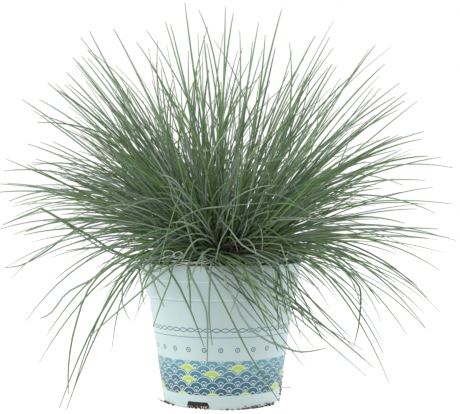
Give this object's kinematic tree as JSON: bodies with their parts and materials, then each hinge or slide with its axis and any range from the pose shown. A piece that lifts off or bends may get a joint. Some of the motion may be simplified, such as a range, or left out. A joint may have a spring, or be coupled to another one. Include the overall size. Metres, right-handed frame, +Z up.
{
  "type": "potted blue fescue clump",
  "caption": "Dense clump of fine, spiky blue-green fescue leaves that spring and arch from one crown in a pale, tapered nursery pot with a collar and drainage notches.",
  "frame": {"origin": "centre of the flat pad under the pot, on the surface that the pot stands on", "axes": "+Z up along the pot's axis, -Y towards the side that the picture shows, +X to that view's right"},
  "size_m": [0.4842, 0.4954, 0.4239],
  "materials": {
    "pot_plastic": "semi-matte moulded polypropylene, pale aqua, with a printed band low on the wall",
    "potting_mix": "damp dark peat and bark fibre",
    "crown": "dry, matt leaf sheaths",
    "leaf": "living leaf with a waxy blue bloom, satin"
  },
  "bodies": {
    "root": {"pot": "pot_plastic", "potting_mix": "potting_mix", "crown": "crown", "tuft_upright_1": "leaf", "tuft_upright_2": "leaf", "tuft_upright_3": "leaf", "tuft_upright_4": "leaf", "tuft_inner_1": "leaf", "tuft_inner_2": "leaf", "tuft_inner_3": "leaf", "tuft_inner_4": "leaf", "tuft_inner_5": "leaf", "tuft_inner_6": "leaf", "tuft_inner_7": "leaf", "tuft_inner_8": "leaf", "tuft_inner_9": "leaf", "tuft_middle_1": "leaf", "tuft_middle_2": "leaf", "tuft_middle_3": "leaf", "tuft_middle_4": "leaf", "tuft_middle_5": "leaf", "tuft_middle_6": "leaf", "tuft_middle_7": "leaf", "tuft_middle_8": "leaf", "tuft_middle_9": "leaf", "tuft_middle_10": "leaf", "tuft_outer_1": "leaf", "tuft_outer_2": "leaf", "tuft_outer_3": "leaf", "tuft_outer_4": "leaf", "tuft_outer_5": "leaf", "tuft_outer_6": "leaf", "tuft_outer_7": "leaf", "tuft_outer_8": "leaf", "tuft_outer_9": "leaf", "tuft_outer_10": "leaf", "tuft_arching_1": "leaf", "tuft_arching_2": "leaf", "tuft_arching_3": "leaf", "tuft_arching_4": "leaf", "tuft_arching_5": "leaf", "tuft_arching_6": "leaf", "tuft_arching_7": "leaf", "tuft_arching_8": "leaf", "tuft_arching_9": "leaf", "tuft_arching_10": "leaf", "tuft_hanging_1": "leaf", "tuft_hanging_2": "leaf", "tuft_hanging_3": "leaf", "tuft_hanging_4": "leaf", "tuft_hanging_5": "leaf", "tuft_hanging_6": "leaf", "tuft_hanging_7": "leaf", "tuft_hanging_8": "leaf", "tuft_hanging_9": "leaf", "tuft_hanging_10": "leaf"}
  },
  "joints": []
}
